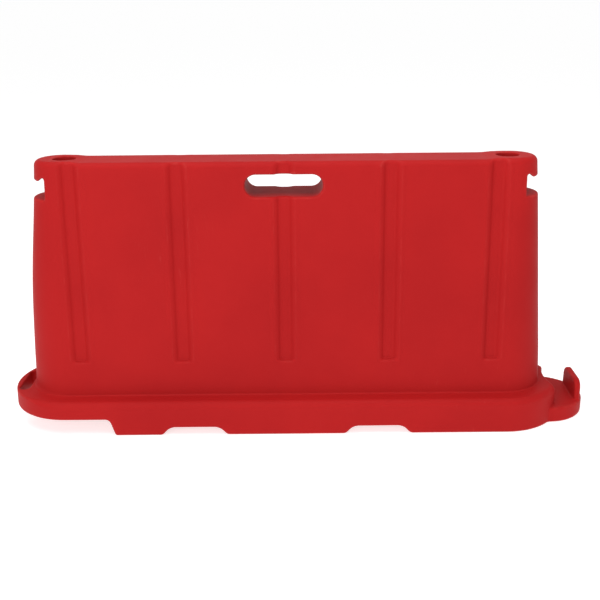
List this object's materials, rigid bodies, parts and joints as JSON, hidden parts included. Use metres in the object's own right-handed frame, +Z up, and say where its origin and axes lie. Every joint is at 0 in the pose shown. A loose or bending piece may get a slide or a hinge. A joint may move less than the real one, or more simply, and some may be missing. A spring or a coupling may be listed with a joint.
{
  "type": "water filled barrier",
  "caption": "Long hollow tapered barrier on a wide round-ended foot, with grooved sides, a hand slot, end notches, a linking tongue and hook, screw filler caps and a drain plug.",
  "frame": {"origin": "on the ground, under the middle of the middle groove, half way between the upright axes of the round ends", "axes": "+X to the right along the barrier, towards the tongue; +Y to the back, where the drain is; +Z up"},
  "size_m": [1.9973, 0.418, 0.905],
  "materials": {
    "red_polyethylene": "satin, rotomoulded, lightly scuffed",
    "black_polyethylene": "satin, moulded",
    "black_cap_plastic": "fine textured, moulded",
    "seal_rubber": "matt"
  },
  "bodies": {
    "tank": {"tank_shell": "red_polyethylene", "filler_neck_left": "black_polyethylene", "filler_neck_right": "black_polyethylene", "drain_neck": "black_polyethylene"},
    "left_ring": {"filler_ring_left": "seal_rubber"},
    "left_cap": {"filler_cap_left": "black_cap_plastic"},
    "right_ring": {"filler_ring_right": "seal_rubber"},
    "right_cap": {"filler_cap_right": "black_cap_plastic"},
    "drain_seal": {"drain_ring": "seal_rubber"},
    "drain_plug": {"drain_plug": "black_cap_plastic"}
  },
  "joints": [
    {"name": "left_cap_lift", "type": "slide", "parent": "tank", "child": "left_ring", "axis": [0, 0, 1], "range_m": [0, 0.1]},
    {"name": "left_cap_turn", "type": "hinge", "parent": "left_ring", "child": "left_cap", "pos_m": [-0.716, 0, 0.84], "axis": [0, 0, 1], "range_deg": [0, 1080]},
    {"name": "right_cap_lift", "type": "slide", "parent": "tank", "child": "right_ring", "axis": [0, 0, 1], "range_m": [0, 0.1]},
    {"name": "right_cap_turn", "type": "hinge", "parent": "right_ring", "child": "right_cap", "pos_m": [0.73, 0, 0.84], "axis": [0, 0, 1], "range_deg": [0, 1080]},
    {"name": "drain_plug_travel", "type": "slide", "parent": "tank", "child": "drain_seal", "axis": [0, 1, 0], "range_m": [0, 0.018]},
    {"name": "drain_plug_turn", "type": "hinge", "parent": "drain_seal", "child": "drain_plug", "pos_m": [0, 0.195, 0.043], "axis": [0, 1, 0], "range_deg": [0, 1620]}
  ],
  "couplings": [
    {"joint": "drain_plug_travel", "follows": "drain_plug_turn", "m_per_rad": 0.00063662}
  ]
}
